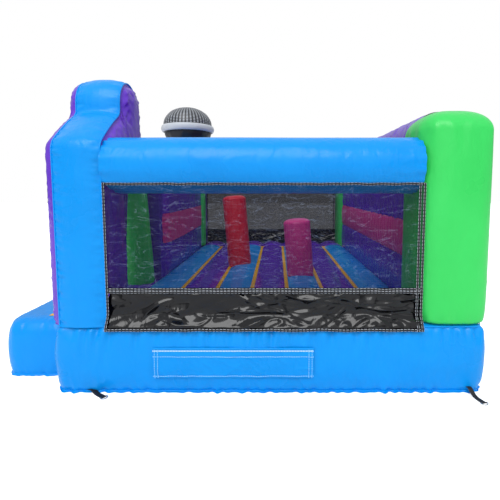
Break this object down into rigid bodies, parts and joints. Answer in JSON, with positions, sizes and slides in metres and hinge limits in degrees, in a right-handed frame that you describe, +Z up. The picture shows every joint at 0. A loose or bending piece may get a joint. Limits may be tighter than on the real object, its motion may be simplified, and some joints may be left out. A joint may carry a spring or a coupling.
{
  "type": "inflatable bounce house",
  "caption": "Open-topped inflatable bounce house with net side windows, an entrance step, round corner columns, swaying bash posts and a microphone-shaped figure on its front wall.",
  "frame": {"origin": "on the ground, in the middle of the main body", "axes": "+X from the entrance to the rear wall, +Y from one side window to the other, +Z up"},
  "size_m": [5.1897, 5.082, 3.21],
  "materials": {
    "groundsheet": "matt coated sheet",
    "pvc_blue": "glossy coated fabric",
    "pvc_purple": "glossy coated fabric",
    "pvc_green": "glossy coated fabric",
    "pvc_black": "glossy wrinkled coated fabric",
    "pvc_yellow": "satin coated fabric",
    "pvc_red": "glossy coated fabric",
    "pvc_magenta": "glossy coated fabric",
    "inner_web": "matt coated sheet",
    "grille_print": "coated fabric with printed dots",
    "handle_black": "glossy coated fabric",
    "collar_grey": "satin coated fabric",
    "net": "knotless woven mesh",
    "webbing": "woven webbing",
    "zip_tape": "woven tape with coil teeth",
    "zinc": "zinc-plated"
  },
  "bodies": {
    "castle": {"groundsheet": "groundsheet", "base_front": "pvc_blue", "base_rear": "pvc_blue", "base_near": "pvc_blue", "base_far": "pvc_blue", "entrance_step": "pvc_blue", "top_beam_near": "pvc_blue", "top_beam_far": "pvc_blue", "zip_cover_welt": "pvc_blue", "inflation_sleeve": "pvc_blue", "floor_cell_1": "pvc_blue", "floor_cell_2": "pvc_purple", "floor_cell_3": "pvc_blue", "floor_cell_4": "pvc_purple", "floor_cell_5": "pvc_blue", "floor_cell_6": "pvc_purple", "floor_cell_7": "pvc_blue", "floor_webs": "inner_web", "facade_webs": "inner_web", "rear_wall_webs": "inner_web", "floor_seam_tapes": "pvc_yellow", "step_top_panel": "pvc_yellow", "entrance_threshold": "pvc_purple", "facade_jamb": "pvc_purple", "facade_arch": "pvc_purple", "facade_wall": "pvc_purple", "rear_wall_lower": "pvc_purple", "rear_wall_upper": "pvc_purple", "front_inner_band": "pvc_magenta", "rear_wall_band": "pvc_magenta", "post_foot_pink": "pvc_magenta", "entrance_lining": "pvc_purple", "entrance_post": "pvc_green", "front_corner_post": "pvc_green", "rear_column_near": "pvc_green", "rear_column_far": "pvc_green", "mic_head": "grille_print", "mic_neck": "handle_black", "mic_collar": "collar_grey", "window_net_near": "net", "window_net_far": "net", "window_band_near": "pvc_black", "window_band_far": "pvc_black", "window_binding_near": "webbing", "window_binding_far": "webbing", "sleeve_strap": "webbing", "anchor_straps": "webbing", "post_foot_red": "pvc_red", "zip_tape": "zip_tape"},
    "red_post": {"bash_post_red": "pvc_red"},
    "pink_post": {"bash_post_pink": "pvc_magenta"},
    "cover": {"zip_cover": "pvc_blue"},
    "slider": {"zip_slider": "zinc"},
    "ring_1": {"anchor_ring_1": "zinc"},
    "ring_2": {"anchor_ring_2": "zinc"},
    "ring_3": {"anchor_ring_3": "zinc"},
    "ring_4": {"anchor_ring_4": "zinc"},
    "ring_5": {"anchor_ring_5": "zinc"},
    "ring_6": {"anchor_ring_6": "zinc"}
  },
  "joints": [
    {"name": "red_post_sway", "type": "hinge", "parent": "castle", "child": "red_post", "pos_m": [-0.47768, -0.1, 0.83336], "axis": [0, 1, 0], "range_deg": [-20, 20], "stiffness_Nm_per_rad": 60},
    {"name": "pink_post_sway", "type": "hinge", "parent": "castle", "child": "pink_post", "pos_m": [0.34781, -0.745, 0.84384], "axis": [0, 1, 0], "range_deg": [-20, 20], "stiffness_Nm_per_rad": 40},
    {"name": "zip_cover_lift", "type": "hinge", "parent": "castle", "child": "cover", "pos_m": [0, -2.3778, 0.395], "axis": [-1, 0, 0], "range_deg": [0, 150]},
    {"name": "zip_slider_run", "type": "slide", "parent": "castle", "child": "slider", "axis": [1, 0, 0], "range_m": [0, 1.26]},
    {"name": "anchor_ring_1_tilt", "type": "hinge", "parent": "castle", "child": "ring_1", "pos_m": [-1.37005, -2.42463, 0.0073], "axis": [-0.5592, -0.829, 0], "range_deg": [0, 170]},
    {"name": "anchor_ring_2_tilt", "type": "hinge", "parent": "castle", "child": "ring_2", "pos_m": [1.73306, -2.50801, 0.0073], "axis": [-0.9659, -0.2588, 0], "range_deg": [0, 170]},
    {"name": "anchor_ring_3_tilt", "type": "hinge", "parent": "castle", "child": "ring_3", "pos_m": [-1.37005, 2.42463, 0.0073], "axis": [0.5592, -0.829, 0], "range_deg": [0, 170]},
    {"name": "anchor_ring_4_tilt", "type": "hinge", "parent": "castle", "child": "ring_4", "pos_m": [1.73306, 2.50801, 0.0073], "axis": [0.9659, -0.2588, 0], "range_deg": [0, 170]},
    {"name": "anchor_ring_5_tilt", "type": "hinge", "parent": "castle", "child": "ring_5", "pos_m": [2.00052, -1.66262, 0.0073], "axis": [-0.2079, -0.9781, 0], "range_deg": [0, 170]},
    {"name": "anchor_ring_6_tilt", "type": "hinge", "parent": "castle", "child": "ring_6", "pos_m": [2.00052, 0.86262, 0.0073], "axis": [0.2079, -0.9781, 0], "range_deg": [0, 170]}
  ]
}
